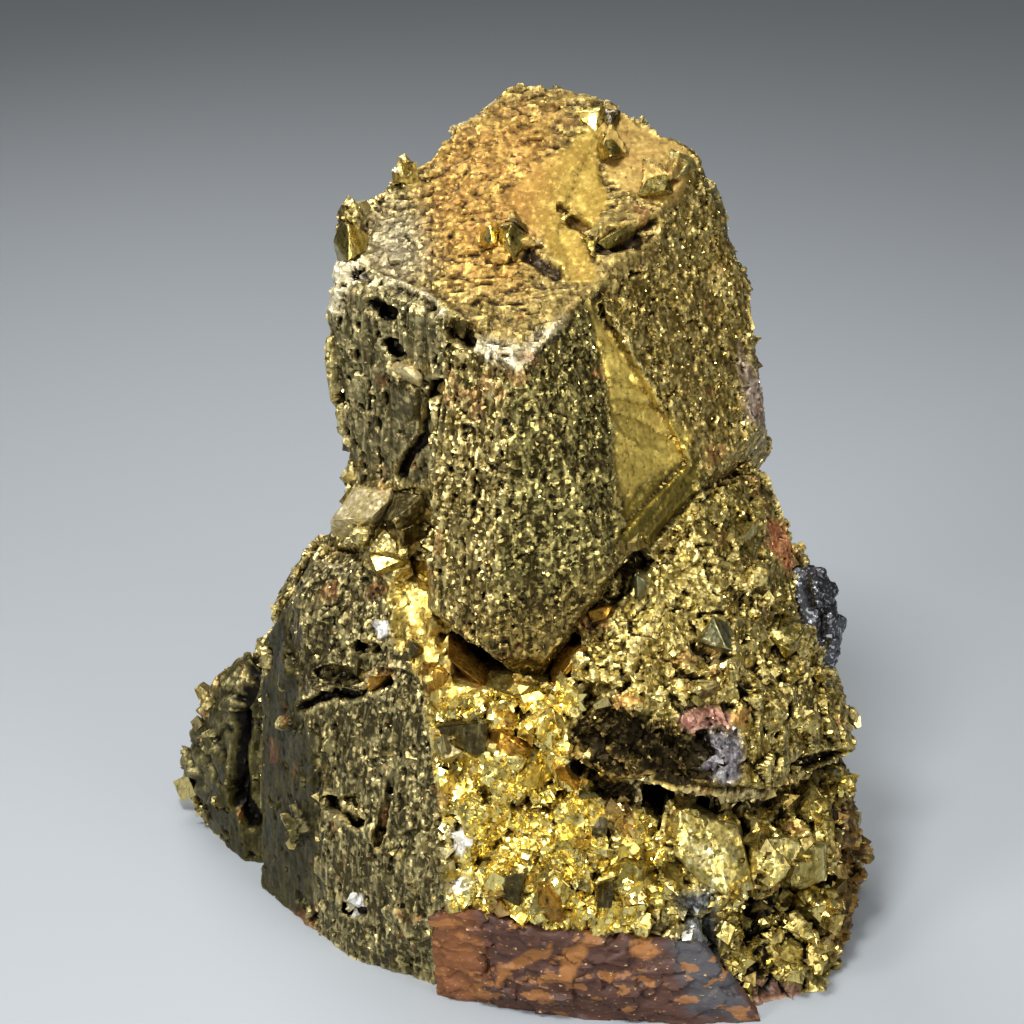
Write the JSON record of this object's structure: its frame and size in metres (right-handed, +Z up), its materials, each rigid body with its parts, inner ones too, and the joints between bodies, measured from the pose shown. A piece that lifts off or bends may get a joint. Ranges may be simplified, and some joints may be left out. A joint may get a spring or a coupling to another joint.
{
  "type": "chalcopyrite specimen",
  "caption": "Cluster of golden-olive chalcopyrite: a big blocky crystal on a wide foot of smaller ones, with iron-stained rock. It stands on its flat underside.",
  "frame": {"origin": "on the surface it stands on, under the middle of the bounding box", "axes": "+Z up, +X to the right as seen from the front, +Y to the back"},
  "size_m": [0.0952, 0.0698, 0.1081],
  "materials": {
    "chalcopyrite": "natural crystal faces with a metallic lustre, granular and tarnished olive-brown in part",
    "dark_sulphide": "natural dark grey crystal with a metallic lustre",
    "iron_stained_rock": "dull maroon-brown iron-stained rock with tan and orange patches"
  },
  "bodies": {
    "root": {"chalcopyrite_cluster": "chalcopyrite", "dark_grey_crystal": "dark_sulphide", "iron_stained_matrix": "iron_stained_rock"}
  },
  "joints": []
}
